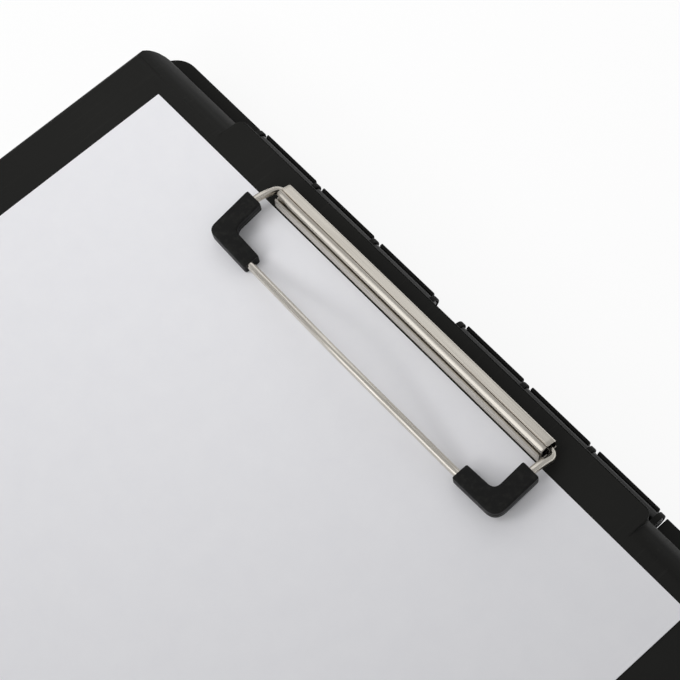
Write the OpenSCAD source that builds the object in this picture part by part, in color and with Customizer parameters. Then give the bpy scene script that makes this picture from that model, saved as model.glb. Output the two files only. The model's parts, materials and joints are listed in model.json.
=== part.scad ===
/* [Case] */
// Overall width of the case
case_w = 243; // [236:1:270]
// Overall length, from the front wall to the back of the hinge barrels
case_len = 330; // [328:1:380]
// Height of the base tray
base_h = 14; // [13:0.5:40]
// Depth of the lid, from its rim to its top face
lid_d = 12.2; // [12:0.1:20]
// Wall thickness of the base and the lid
wall = 2; // [1.6:0.1:2.6]
// Thickness of the base's floor
floor_t = 2; // [1.5:0.1:4]
// Thickness of the writing surface
lid_t = 2.2; // [1.6:0.1:3]
// Radius of the case's corners, seen from above
corner_r = 8; // [4:0.5:16]
// Radius of the lid's top edge along the sides and the front
edge_r = 2; // [1:0.1:3]
// Radius of the roll along the lid's back edge
roll_r = 9.8; // [6:0.1:10.5]
// Chamfer around the base's bottom edge
foot_chamfer = 1.5; // [0.5:0.1:2]
// Gap between the lid's rim and the base's rim
parting_gap = 0.2; // [0.1:0.05:0.4]
// Height that the locating lip stands above the base's rim
lip_h = 1.5; // [0.8:0.1:3]
// Thickness of the locating lip
lip_t = 1.2; // [0.8:0.1:2]
// Gap between the locating lip and the lid's wall
lip_clear = 0.4; // [0.3:0.05:0.6]

/* [Hinge] */
// Radius of the base's hinge barrels
barrel_r = 3; // [2.8:0.1:3.5]
// Length of one hinge barrel
barrel_l = 21.9; // [18:0.1:22]
// Gap between two barrels of one side, where a lid lug stands
barrel_gap = 3.3; // [2.6:0.1:4]
// Gap between the two middle barrels
centre_gap = 13.8; // [8:0.1:20]
// Radius of the hinge rods
rod_r = 1.9; // [1.5:0.05:2]
// Radial clearance of a rod in its barrels
rod_clear = 0.06; // [0.02:0.01:0.1]
// Angle of the barrels' open mouth, seen along the hinge
mouth_angle = 105; // [60:5:120]
// Angle of the mouth's outer edge above the horizontal
mouth_start = 17; // [10:1:30]
// Radius of the lid's lugs
lug_r = 2.6; // [2.4:0.05:2.75]
// Thickness of one lug
lug_w = 1.7; // [1.2:0.1:2]
// Gap between a barrel's end and the lug beside it, at the ends of a row
lug_gap = 0.6; // [0.3:0.05:1]
// Height of the base's rim above the hinge axis
axis_drop = 0.85; // [0.7:0.05:1]
// Distance from the lid's flat back edge to the hinge axis
leaf_setback = 2.65; // [2.5:0.05:2.9]
// Clearance between the two halves around the hinge
hinge_clear = 0.3; // [0.3:0.05:0.4]
// Radius of the lid leaf's corners, seen from above
leaf_r = 3; // [1.5:0.5:5]
// Chamfer along the leaf's top edge
leaf_chamfer = 0.5; // [0.2:0.1:0.8]

/* [Clip] */
// Length of the clip's tube
clip_len = 104.8; // [90:0.2:120]
// Distance from the leaf's edge to the bail's axle
clip_setback = 7.8; // [7:0.1:12]
// Outer radius of the tube's rolled front
tube_r = 2.7; // [2.6:0.05:3]
// Distance of the rolled front's middle ahead of the axle
roll_ahead = 0.75; // [0.4:0.05:1]
// Distance that the tube's back wall stands behind the axle
tube_back = 2.4; // [2.3:0.1:3]
// Fall of the tube's sloping top, from its seam to the back wall
tube_fall = 1.1; // [0.6:0.1:1.2]
// Thickness of the tube's sheet
sheet_t = 0.5; // [0.4:0.05:0.6]
// Thickness of the clip's base plate
plate_t = 0.6; // [0.5:0.1:1]
// Height of the plate's upturned front lip above the writing surface
plate_lip_h = 3.8; // [1:0.1:4.2]
// Gap between the tube's rolled front and the plate's lip
plate_lip_gap = 0.05; // [0.02:0.01:0.2]
// Distance that the plate reaches behind the tube's back wall
plate_back = 0.2; // [0:0.1:1]
// Width of the seam along the tube's top
seam_w = 0.25; // [0.15:0.05:0.5]
// Width of the leaf spring inside the tube
spring_w = 3; // [2.4:0.1:3.2]
// Thickness of the leaf spring
spring_t = 0.4; // [0.3:0.05:0.5]
// Rise of the leaf spring's arch
spring_rise = 0.5; // [0.2:0.05:0.6]
// Distance between the two rivets
rivet_pitch = 32; // [20:1:44]
// Radius of a rivet's shank
rivet_r = 1.25; // [1:0.05:1.5]
// Radius of a rivet's head
rivet_head_r = 1.8; // [1.6:0.05:1.9]
// Height of a rivet's head
rivet_head_h = 0.8; // [0.5:0.1:1]
// Radius of a washer under the lid
washer_r = 4; // [3:0.1:5]
// Thickness of a washer
washer_t = 0.6; // [0.4:0.1:1]

/* [Bail] */
// Radius of the bail's wire
wire_r = 1.15; // [1:0.05:1.2]
// Distance from the bail's axle to its front bar
bail_reach = 21.35; // [19:0.05:26]
// Distance from the tube's end to the middle of the bail's side arm
arm_gap = 2.2; // [1.9:0.1:6]
// Distance from the case's middle to the inner end of each axle stub
stub_start = 26; // [24:1:40]
// Distance of the side arm's highest point ahead of the axle
hump_reach = 7.4; // [6:0.1:9]
// Height of the side arm's highest point above the axle
hump_rise = 4.25; // [3:0.05:6]
// Height of the front corners above the axle
corner_rise = 2.2; // [1.5:0.1:4]
// Height of the front bar's peak above its two ends
bar_rise = 6.3; // [0:0.1:8]
// Distance of the front bar's peak ahead of its two ends
bar_lean = 1.7; // [0:0.1:3]
// Size of the rounding at the front bar's peak
bar_round = 8; // [4:0.5:16]
// Length of a bend, along each of its two legs
bend_len = 3.8; // [3:0.1:5]
// Length of the bend where the wire leaves a grip, along each of its two legs
dip_len = 2.5; // [1:0.1:2.8]
// Width of a grip around the side arm
grip_side_w = 5.8; // [4:0.1:6.6]
// Width of a grip around the front bar
grip_front_w = 5.2; // [4.6:0.1:6]
// Thickness of a grip
grip_t = 3.8; // [3.4:0.1:4.2]
// Distance of a grip's front part behind the middle of the wire
grip_inset = 0.6; // [0:0.1:1]
// Distance of a grip's middle below the wire's
grip_drop = 0.3; // [0:0.1:0.4]
// Gap between a grip's inner end and the paper
grip_gap = 0.15; // [0.1:0.05:0.4]
// Distance of a grip's rear end ahead of the axle
grip_rear = 8.4; // [7.8:0.1:10]
// Distance from a side arm to the grip's inner end, along the front bar
grip_front = 13; // [8:0.5:20]
// Length of the bend in a grip's inner edge, along each leg
grip_inner_bend = 2.5; // [1:0.1:4]
// Length of the bend in a grip's outer edge, along each leg
grip_outer_bend = 4; // [2:0.1:5]

/* [Paper] */
// Width of the sheet
paper_w = 210; // [148:1:216]
// Length of the sheet
paper_len = 297; // [210:1:300]
// Thickness of the sheets together
paper_t = 0.3; // [0.1:0.1:1]
// Gap between the sheet's top edge and the clip's plate
paper_clear = 0.3; // [0.1:0.1:1]

/* [Latch] */
// Length of the latch slide
slide_len = 36; // [34:1:50]
// Height of the latch slide
slide_h = 12.4; // [12:0.1:13]
// Thickness of the latch slide's plate
slide_t = 1.3; // [1:0.1:1.5]
// Height that the slide reaches below the base's rim
slide_drop = 5; // [4.6:0.1:6]
// Travel of the latch slide
slide_travel = 5; // [4:0.1:6]
// Clearance around the latch slide
slide_clear = 0.3; // [0.2:0.05:0.4]
// Depth of the pocket that the slide runs in
pocket_d = 1.9; // [1.9:0.05:2.2]
// Distance between the two keepers
keeper_pitch = 16; // [15:0.5:18]
// Width of one keeper
keeper_w = 4; // [3:0.1:4.5]
// Height of one keeper
keeper_h = 2; // [1.5:0.1:2.2]
// Number of ribs on the slide's thumb grip
rib_count = 7; // [3:1:9]
// Height of one rib
rib_h = 0.3; // [0.2:0.05:0.3]

/* [Hidden] */
$fn = 64;

plastic = "#262626";
nickel = "#cfc9c0";
eps = 0.01;
over = 1;

front_y = -case_len / 2;
axis_y = case_len / 2 - barrel_r;
axis_z = base_h - axis_drop;
leaf_y = axis_y - leaf_setback;
shoulder_y = axis_y + leaf_setback - hinge_clear;
rim_z = base_h + parting_gap;
top_z = rim_z + lid_d;
ceiling_z = top_z - lid_t;

pitch = barrel_l + barrel_gap;
barrel_x = [for (i = [0:2]) centre_gap / 2 + i * pitch];
row_end = barrel_x[2] + barrel_l;
lug_x = [centre_gap / 2 - lug_gap - lug_w, barrel_x[1] - (barrel_gap + lug_w) / 2,
    barrel_x[2] - (barrel_gap + lug_w) / 2, row_end + lug_gap];
leaf_half = lug_x[3] + lug_w + 0.1;
shoulder_x = leaf_half + lug_gap;
rod_end_inset = 0.1;
bore_r = rod_r + rod_clear;
web_h = lug_r - axis_drop - 2 * parting_gap;
web_back = 1.6 * wall;

axle_clear = 0.06;
axle_y = leaf_y - clip_setback;
axle_z = top_z + plate_t + sheet_t + axle_clear + wire_r;
tube_y = axle_y - roll_ahead;
tube_flat = 0.1;
tube_z = top_z + plate_t + tube_r - tube_flat;
tube_top = tube_z + tube_r;
plate_y = tube_y - tube_r - plate_lip_gap - plate_t;
spring_z = axle_z + wire_r + axle_clear;
spring_len = clip_len - 2;
arm_x = clip_len / 2 + arm_gap;
bar_y = axle_y - bail_reach;
wire_sides = 16;
// The many-sided part of the wire just covers the round stubs that it grows out of
side_r = 1.03 * wire_r;
corner_z = axle_z + corner_rise;
bar_end_x = arm_x - grip_front;
bar_end_z = top_z + paper_t + grip_gap + grip_t / 2 + grip_drop;
paper_y = plate_y - paper_clear;

slide_top = rim_z - slide_drop + slide_h;
slide_y = front_y + pocket_d - slide_clear - slide_t;
pocket_x0 = -slide_len / 2 - slide_clear;
pocket_x1 = slide_len / 2 + slide_travel + slide_clear;
boss_wall = 1.6;
boss_x = pocket_x1 + 4;
neck_len = 12;
neck_h = 2.4;
neck_z = rim_z + 3;
retainer_t = 1.2;
retainer_edge = 2;
keeper_z = base_h - 1 - keeper_h;

// A rounded rectangle seen from above, between two Y values
module plan(half_w, y0, y1, r) {
    translate([-half_w + r, y0]) square([2 * (half_w - r), y1 - y0]);
    translate([-half_w, y0 + r]) square([2 * half_w, y1 - y0 - 2 * r]);
    for (x = [-half_w + r, half_w - r], y = [y0 + r, y1 - r]) translate([x, y]) circle(r);
}

// A section between (a0, z0) and (a1, z1) whose top corners have the radii r0 and r1
module arched(a0, a1, z0, z1, r0, r1) {
    intersection() {
        translate([a0, z0]) square([a1 - a0, z1 - z0]);
        union() {
            translate([a0 + r0, z0]) square([a1 - a0 - r0 - r1, z1 - z0]);
            translate([a0, z0]) square([a1 - a0 - r1, z1 - z0 - r0]);
            translate([a0, z0]) square([a1 - a0, z1 - z0 - max(r0, r1)]);
            translate([a0 + r0, z1 - r0]) circle(r0, $fn = 96);
            translate([a1 - r1, z1 - r1]) circle(r1, $fn = 96);
        }
    }
}

// Extrudes a Y-Z section along X, from x0 to x1
module along_x(x0, x1) {
    translate([x0, 0, 0]) rotate([90, 0, 90]) linear_extrude(x1 - x0) children();
}

// Extrudes an X-Z section along Y, from y0 to y1
module along_y(y0, y1) {
    translate([0, y1, 0]) rotate([90, 0, 0]) linear_extrude(y1 - y0) children();
}

// A cylinder on the hinge axis, from x0 to x1
module on_axis(r, x0, x1) {
    translate([x0, axis_y, axis_z]) rotate([0, 90, 0]) cylinder(r = r, h = x1 - x0);
}

// Copies its children to the case's other side
module both_sides() {
    children();
    mirror([1, 0, 0]) children();
}

// A box between two corners
module block(low, high) {
    translate(low) cube(high - low);
}

module barrels() {
    for (x = barrel_x) {
        on_axis(barrel_r, x, x + barrel_l);
        block([x, leaf_y - wall, axis_z - barrel_r], [x + barrel_l, axis_y, base_h - parting_gap]);
    }
}

// The bores of the barrels and the open mouths that the rods snap in through
module barrel_bores() {
    far = 2 * barrel_r;
    for (x = barrel_x) {
        on_axis(bore_r, x - over, x + barrel_l + over);
        along_x(x - over, x + barrel_l + over)
            translate([axis_y, axis_z])
            polygon(concat([[0, 0]],
                [for (i = [0:3]) let (a = mouth_start + i * mouth_angle / 3) far * [cos(a), sin(a)]]));
    }
}

// Room around the lugs in the base's back wall
module lug_reliefs() {
    for (x = lug_x)
        on_axis(lug_r + hinge_clear, x - hinge_clear, x + lug_w + hinge_clear);
}

module base_shell() {
    difference() {
        intersection() {
            linear_extrude(base_h) plan(case_w / 2, front_y, shoulder_y, corner_r);
            along_x(-case_w, case_w)
                polygon([[front_y + foot_chamfer, 0], [shoulder_y - foot_chamfer, 0],
                    [shoulder_y, foot_chamfer], [shoulder_y, base_h],
                    [front_y, base_h], [front_y, foot_chamfer]]);
            along_y(-case_len, case_len)
                polygon([[-case_w / 2 + foot_chamfer, 0], [case_w / 2 - foot_chamfer, 0],
                    [case_w / 2, foot_chamfer], [case_w / 2, base_h],
                    [-case_w / 2, base_h], [-case_w / 2, foot_chamfer]]);
        }
        translate([0, 0, floor_t]) linear_extrude(base_h)
            plan(case_w / 2 - wall, front_y + wall, leaf_y - wall, corner_r - wall);
        block([-shoulder_x, leaf_y, -over], [shoulder_x, case_len, base_h + over]);
        both_sides() lug_reliefs();
    }
}

// The lip that centres the lid, left out at the latch and near the hinge
module locating_lip() {
    half = case_w / 2 - wall;
    lip_back = leaf_y - 5 * corner_r;
    difference() {
        union() {
            translate([0, 0, base_h - 2 * lip_h]) linear_extrude(2 * lip_h - parting_gap)
                plan(half + eps, front_y + wall - eps, leaf_y - wall, corner_r - wall);
            translate([0, 0, base_h - 2 * lip_h]) linear_extrude(3 * lip_h)
                plan(half - lip_clear, front_y + wall + lip_clear, leaf_y - wall, corner_r - wall);
        }
        linear_extrude(2 * base_h)
            plan(half - lip_clear - lip_t, front_y + wall + lip_clear + lip_t, leaf_y,
                corner_r - wall - lip_clear - lip_t / 2);
        block([-case_w, lip_back, 0], [case_w, case_len, 2 * base_h]);
        block([-boss_x - lip_t, -case_len, 0], [boss_x + lip_t, front_y + 4 * wall, 2 * base_h]);
    }
}

// The pocket across both front walls that the latch slide runs in
module slide_pocket() {
    block([pocket_x0, front_y - over, rim_z - slide_drop - slide_clear],
        [pocket_x1, front_y + pocket_d, slide_top + slide_clear]);
}

module keepers() {
    for (x = [-1, 1] * keeper_pitch / 2)
        block([x - keeper_w / 2, slide_y, keeper_z],
            [x + keeper_w / 2, front_y + pocket_d + eps, keeper_z + keeper_h]);
}

module base_tray() {
    color(plastic) {
        difference() {
            union() {
                base_shell();
                both_sides() barrels();
                locating_lip();
                block([-boss_x, front_y + wall - eps, eps], [boss_x, front_y + pocket_d + boss_wall, base_h]);
            }
            both_sides() barrel_bores();
            slide_pocket();
        }
        keepers();
    }
}

// The lid's body without its leaf, shrunk by a wall on every side but its rim
module lid_block(skin, top, low) {
    intersection() {
        translate([0, 0, low]) linear_extrude(top - low)
            plan(case_w / 2 - skin, front_y + skin, leaf_y - skin, corner_r - skin);
        along_x(-case_w, case_w)
            arched(front_y + skin, leaf_y - skin, low, top, max(edge_r - skin, eps), roll_r - skin);
        along_y(-case_len, case_len)
            arched(-case_w / 2 + skin, case_w / 2 - skin, low, top,
                max(edge_r - skin, eps), max(edge_r - skin, eps));
    }
}

// The flat leaf of the lid between the shoulders, which carries the lugs
module leaf_block(skin, top, low, chamfer) {
    intersection() {
        translate([0, 0, low]) linear_extrude(top - low)
            plan(leaf_half - skin, leaf_y - 2 * roll_r, leaf_y - skin, leaf_r);
        along_x(-case_w, case_w)
            polygon([[leaf_y - 2 * roll_r, low], [leaf_y - skin, low],
                [leaf_y - skin, top - chamfer], [leaf_y - skin - chamfer, top],
                [leaf_y - 2 * roll_r, top]]);
    }
}

module lugs() {
    for (x = lug_x) {
        on_axis(lug_r, x, x + lug_w);
        block([x, leaf_y - web_back, axis_z + lug_r - web_h], [x + lug_w, axis_y, axis_z + lug_r]);
    }
}

module lid() {
    color(plastic) difference() {
        union() {
            difference() {
                union() {
                    lid_block(0, top_z, rim_z);
                    leaf_block(0, top_z, rim_z, leaf_chamfer);
                }
                lid_block(wall, ceiling_z, rim_z - over);
                leaf_block(wall, ceiling_z, rim_z - over, eps);
                both_sides() for (x = barrel_x)
                    on_axis(barrel_r + hinge_clear, x - hinge_clear, x + barrel_l + hinge_clear);
            }
            both_sides() lugs();
            block([-boss_x, front_y + wall - eps, rim_z],
                [boss_x, front_y + pocket_d + boss_wall, ceiling_z + eps]);
        }
        both_sides() for (x = lug_x)
            on_axis(rod_r + rod_clear / 2, x - over, x + lug_w + over);
        for (x = [-1, 1] * rivet_pitch / 2)
            translate([x, axle_y, ceiling_z - over]) cylinder(r = rivet_r, h = lid_t + 2 * over);
        slide_pocket();
        block([-neck_len / 2 - slide_clear, front_y, neck_z - slide_clear],
            [neck_len / 2 + slide_travel + slide_clear, front_y + pocket_d + boss_wall + over,
                neck_z + neck_h + slide_clear]);
    }
}

module hinge_rod() {
    color(plastic) on_axis(rod_r, lug_x[0] + rod_end_inset, lug_x[3] + lug_w - rod_end_inset);
}

module left_hinge_rod() {
    mirror([1, 0, 0]) hinge_rod();
}

module right_hinge_rod() {
    hinge_rod();
}

// The clip's sheet lies on the lid and turns up into a lip ahead of the tube
module clip_plate() {
    back_y = axle_y + tube_back + plate_back;
    color(nickel) difference() {
        union() {
            block([-clip_len / 2, plate_y, top_z], [clip_len / 2, back_y, top_z + plate_t]);
            block([-clip_len / 2, plate_y, top_z], [clip_len / 2, plate_y + plate_t, top_z + plate_lip_h]);
        }
        for (x = [-1, 1] * rivet_pitch / 2)
            translate([x, axle_y, top_z - over]) cylinder(r = rivet_r, h = plate_t + 2 * over);
    }
}

// The tube's section, shrunk by a skin: a round front, a sloping top and an upright back wall
module tube_section(skin) {
    back_y = axle_y + tube_back - skin;
    translate([tube_y, tube_z]) circle(tube_r - skin);
    polygon([[tube_y, top_z + plate_t + skin], [back_y, top_z + plate_t + skin],
        [back_y, tube_top - tube_fall - skin], [tube_y, tube_top - skin]]);
}

module clip_tube() {
    color(nickel) difference() {
        along_x(-clip_len / 2, clip_len / 2) tube_section(0);
        along_x(-clip_len, clip_len) tube_section(sheet_t);
        block([-clip_len, tube_y - tube_r, top_z], [clip_len, tube_y + tube_r, top_z + plate_t]);
        block([-clip_len, tube_y - seam_w / 2, tube_z], [clip_len, tube_y + seam_w / 2, tube_top + over]);
        for (x = [-1, 1] * rivet_pitch / 2)
            translate([x, axle_y, top_z]) cylinder(r = rivet_head_r + axle_clear, h = plate_t + rivet_head_h);
    }
}

// The strip arches by spring_rise over its length, and its ends press on the axle stubs
module clip_leaf_spring() {
    arch_r = (pow(spring_len / 2, 2) + pow(spring_rise, 2)) / (2 * spring_rise);
    color(nickel) intersection() {
        along_y(axle_y - spring_w / 2, axle_y + spring_w / 2)
            translate([0, spring_z + spring_rise - arch_r]) difference() {
                circle(arch_r + spring_t, $fn = 720);
                circle(arch_r, $fn = 720);
            }
        block([-spring_len / 2, axle_y - spring_w, spring_z - over], [spring_len / 2, axle_y + spring_w, tube_top]);
    }
}

module clip_rivets() {
    tail_z = ceiling_z - washer_t;
    color(nickel) for (x = [-1, 1] * rivet_pitch / 2) translate([x, axle_y, 0]) {
        translate([0, 0, tail_z]) cylinder(r = rivet_r, h = top_z + plate_t - tail_z);
        translate([0, 0, top_z + plate_t]) cylinder(r1 = rivet_head_r, r2 = rivet_head_r - 0.4, h = rivet_head_h);
        translate([0, 0, tail_z - rivet_head_h]) cylinder(r1 = rivet_r, r2 = rivet_head_r + 0.4, h = rivet_head_h);
    }
}

module rivet_washers() {
    color(nickel) for (x = [-1, 1] * rivet_pitch / 2)
        translate([x, axle_y, ceiling_z - washer_t]) difference() {
            cylinder(r = washer_r, h = washer_t);
            translate([0, 0, -over]) cylinder(r = rivet_r, h = washer_t + 2 * over);
        }
}

// How far up its peak the front bar is at a distance x from the middle: 1 on top, 0 at its ends
function peak(x) =
    let (foot = norm([bar_end_x, bar_round]))
    (foot - norm([x, bar_round])) / (foot - bar_round);

function bar_point(x) = [x, bar_y - bar_lean * peak(x), bar_end_z + bar_rise * peak(x)];

function unit(v) = v / norm(v);

// A bend at b between the legs to a and to c, as a quadratic curve that starts d from b
function bend(a, b, c, d, steps = 8) =
    let (p = b + d * unit(a - b), q = b + d * unit(c - b))
    [for (i = [0:steps]) let (t = i / steps) (1 - t) * (1 - t) * p + 2 * t * (1 - t) * b + t * t * q];

axle_end = [arm_x, axle_y, axle_z];
hump = [arm_x, axle_y - hump_reach, axle_z + hump_rise];
corner = [arm_x, bar_y, corner_z];
bar_end = bar_point(bar_end_x);

// The route of the right side arm, from the axle to where the front bar leaves the grip
arm_route = concat(
    [[clip_len / 2 - over, axle_y, axle_z]],
    bend([0, axle_y, axle_z], axle_end, hump, 0.7 * bend_len),
    bend(axle_end, hump, corner, bend_len),
    bend(hump, corner, bar_end, bend_len),
    bend(corner, bar_end, bar_point(bar_end_x - dip_len), dip_len));

// The peaked front bar, from right to left
bar_steps = 20;
bar_route = [for (i = [1:bar_steps - 1])
    bar_point((bar_end_x - dip_len) * (1 - 2 * i / bar_steps))];

function flip(route) = [for (i = [len(route) - 1:-1:0]) [-route[i][0], route[i][1], route[i][2]]];

wire_route = concat(arm_route, bar_route, flip(arm_route));

// One edge of a grip: along the side arm, around the corner and along the front bar
function grip_edge(out, ahead, bend_l) =
    let (z = corner_z - grip_drop,
        y = bar_y + grip_inset - ahead,
        tail_y = axle_y - grip_rear,
        tail_z = z + (hump[2] - corner_z) * (tail_y - bar_y - grip_inset) / (hump[1] - bar_y),
        tail = [arm_x + out, tail_y, tail_z],
        knee = [arm_x + out, y, z],
        end = [bar_end_x, y, bar_end_z - grip_drop])
    concat([tail], bend(tail, knee, end, bend_l), [end]);

// A round section
function round_section(r, n) = [for (i = [0:n - 1]) r * [cos(360 * i / n), sin(360 * i / n)]];

function squared(c) = sign(c) * sqrt(abs(c));

// A closed solid through rings of n points each
module skin_rings(points, n) {
    last = len(points) / n - 1;
    walls = [for (i = [0:last - 1], j = [0:n - 1])
        [i * n + j, i * n + (j + 1) % n, (i + 1) * n + (j + 1) % n, (i + 1) * n + j]];
    ends = [[for (j = [n - 1:-1:0]) j], [for (j = [0:n - 1]) last * n + j]];
    polyhedron(points, concat(walls, ends), convexity = 8);
}

// Sweeps a section along a route that never runs straight up
module sweep(route, section) {
    last = len(route) - 1;
    skin_rings([for (i = [0:last])
        let (t = unit(route[min(i + 1, last)] - route[max(i - 1, 0)]),
            side = unit(cross(t, [0, 0, 1])),
            up = cross(side, t))
        for (s = section) route[i] + s[0] * side + s[1] * up], len(section));
}

// A solid of thickness t that reaches from one edge to the other, with rounded corners
module soft_band(outer, inner, t, n = 24) {
    skin_rings([for (i = [0:len(outer) - 1])
        let (mid = (outer[i] + inner[i]) / 2, half = (outer[i] - inner[i]) / 2)
        for (j = [0:n - 1]) let (a = 360 * j / n)
            mid + squared(cos(a)) * half + [0, 0, squared(sin(a)) * t / 2]], n);
}

module bail_wire() {
    color(nickel) {
        sweep(wire_route, round_section(side_r, wire_sides));
        both_sides() translate([stub_start, axle_y, axle_z]) rotate([0, 90, 0])
            cylinder(r = wire_r, h = clip_len / 2 - stub_start);
    }
}

module right_grip() {
    color(plastic) soft_band(
        grip_edge(grip_side_w / 2, grip_front_w / 2, grip_outer_bend),
        grip_edge(-grip_side_w / 2, -grip_front_w / 2, grip_inner_bend),
        grip_t);
}

module left_grip() {
    mirror([1, 0, 0]) right_grip();
}

// The notch in the slide around one keeper: an entry from below and a leg to lock in
module keeper_notch() {
    half = keeper_w / 2 + slide_clear;
    block([-half, slide_y - over, 0], [half, slide_y + slide_t + over, keeper_z + keeper_h + slide_clear]);
    block([-half - slide_travel, slide_y - over, keeper_z - slide_clear],
        [half, slide_y + slide_t + over, keeper_z + keeper_h + slide_clear]);
}

module latch_slide() {
    rib_pitch = neck_len / (rib_count - 1);
    color(plastic) difference() {
        union() {
            block([-slide_len / 2, slide_y, slide_top - slide_h],
                [slide_len / 2, slide_y + slide_t, slide_top]);
            for (i = [0:rib_count - 1]) let (x = (i - (rib_count - 1) / 2) * rib_pitch)
                block([x - 0.4, slide_y - rib_h, neck_z - 0.6], [x + 0.4, slide_y + eps, slide_top - 0.8]);
            block([-neck_len / 2, slide_y, neck_z],
                [neck_len / 2, front_y + pocket_d + boss_wall + slide_clear + retainer_t, neck_z + neck_h]);
        }
        for (x = [-1, 1] * keeper_pitch / 2) translate([x, 0, 0]) keeper_notch();
    }
}

module latch_retainer() {
    inner_y = front_y + pocket_d + boss_wall + slide_clear;
    color(plastic) difference() {
        block([-neck_len / 2 - retainer_edge, inner_y, neck_z - retainer_edge],
            [neck_len / 2 + retainer_edge, inner_y + retainer_t, neck_z + neck_h + retainer_edge]);
        block([-neck_len / 2, inner_y - over, neck_z],
            [neck_len / 2, inner_y + retainer_t + over, neck_z + neck_h]);
    }
}

module paper_sheets() {
    color("white")
        block([-paper_w / 2, paper_y - paper_len, top_z], [paper_w / 2, paper_y, top_z + paper_t]);
}

base_tray();
lid();
left_hinge_rod();
right_hinge_rod();
clip_plate();
clip_tube();
clip_leaf_spring();
clip_rivets();
rivet_washers();
bail_wire();
left_grip();
right_grip();
latch_slide();
latch_retainer();
paper_sheets();
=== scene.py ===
"""Storage clipboard box: a slim storage case whose hinged lid is a clipboard.

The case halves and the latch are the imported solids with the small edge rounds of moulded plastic.
The hinge rods, the clip's sheet parts, the bail, its grips and the paper are surfaces worked out
here. Sizes are in millimetres, and one factor, MM, turns them into metres where a mesh is made.
"""

import json
import logging
import math
from dataclasses import dataclass
from enum import Enum
from typing import Sequence

import bmesh
import bpy
import numpy as np
from mathutils import Matrix, Vector


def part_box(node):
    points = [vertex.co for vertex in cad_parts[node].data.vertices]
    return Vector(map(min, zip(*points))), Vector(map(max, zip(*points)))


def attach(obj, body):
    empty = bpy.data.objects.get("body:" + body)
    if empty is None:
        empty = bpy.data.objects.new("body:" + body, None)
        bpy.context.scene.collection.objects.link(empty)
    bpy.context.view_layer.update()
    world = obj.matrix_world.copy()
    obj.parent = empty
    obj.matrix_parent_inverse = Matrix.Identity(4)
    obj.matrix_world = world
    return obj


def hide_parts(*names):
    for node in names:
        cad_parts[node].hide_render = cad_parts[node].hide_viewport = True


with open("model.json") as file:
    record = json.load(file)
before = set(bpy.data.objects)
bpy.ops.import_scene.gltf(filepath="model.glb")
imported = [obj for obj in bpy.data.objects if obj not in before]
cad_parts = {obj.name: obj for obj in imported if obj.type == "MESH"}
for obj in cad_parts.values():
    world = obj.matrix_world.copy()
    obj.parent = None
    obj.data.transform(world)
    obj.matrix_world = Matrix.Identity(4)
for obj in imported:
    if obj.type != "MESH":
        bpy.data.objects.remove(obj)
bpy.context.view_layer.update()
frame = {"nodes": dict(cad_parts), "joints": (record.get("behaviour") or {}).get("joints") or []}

MM = 0.001
SHARP_ANGLE = math.radians(35)
WIRE_MAP = "along_wire"
SKIN_MAP = "sheet_skin"
CUT_ROUND = 0.2     # how far a cut sheet edge is rounded
CUT_STEPS = np.array([0.0, 0.15, 0.4, 1.0])     # where its rows stand, as shares of that
CUT_SHARE = 0.45    # the share of the thickness that is left at its very end

Tree = bpy.types.NodeTree
Node = bpy.types.Node
Socket = bpy.types.NodeSocket
Pair = tuple[float, float]
Triple = tuple[float, float, float]
Span = tuple[float, float, float, float]
Fixed = tuple[tuple[str, float], ...]

log = logging.getLogger("clipboard_case")


class Body(Enum):
    """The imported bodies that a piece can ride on."""

    BASE = "base"
    LID = "lid"
    BAIL = "bail"
    LATCH = "latch"


class Side(Enum):
    """The two mirrored sides of the case, as the sign of X."""

    LEFT = -1
    RIGHT = 1


# ---- colours and nodes


def srgb(colour: str) -> tuple[float, float, float, float]:
    """An sRGB hex colour, such as "#20201f", as linear red, green and blue, and an alpha of 1."""
    value = np.array([int(colour[i:i + 2], 16) for i in (1, 3, 5)]) / 255
    linear = np.where(value <= 0.04045, value / 12.92, ((value + 0.055) / 1.055) ** 2.4)
    return (*(float(v) for v in linear), 1.0)


def add_node(tree: Tree, kind: str, inputs: dict | tuple = (), **settings: object) -> Node:
    """Adds one shader node with its settings, values and links.

    Args:
        tree: the material's or the world's node tree.
        kind: the node's type, without Blender's ShaderNode prefix.
        inputs: what goes into each socket, in a dict by name or index, or in a tuple in order:
            a value, an output to link, or a node whose first output is linked. A MapRange takes
            its value, the two ends that it comes from and the two ends that it goes to.
        settings: the node's own properties.

    Returns:
        The new node.
    """
    node = tree.nodes.new(f"ShaderNode{kind}")
    for name, value in settings.items():
        setattr(node, name, value)
    for key, value in inputs.items() if isinstance(inputs, dict) else enumerate(inputs):
        source = value.outputs[0] if isinstance(value, Node) else value
        if isinstance(source, Socket):
            tree.links.new(source, node.inputs[key])
        else:
            node.inputs[key].default_value = source
    return node


def per_mm(spacing: float | Triple) -> np.ndarray:
    """The scale of a pattern whose features are this many millimetres apart, on each axis."""
    return 1 / (np.array(spacing) * MM)


# ---- finishes


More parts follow.
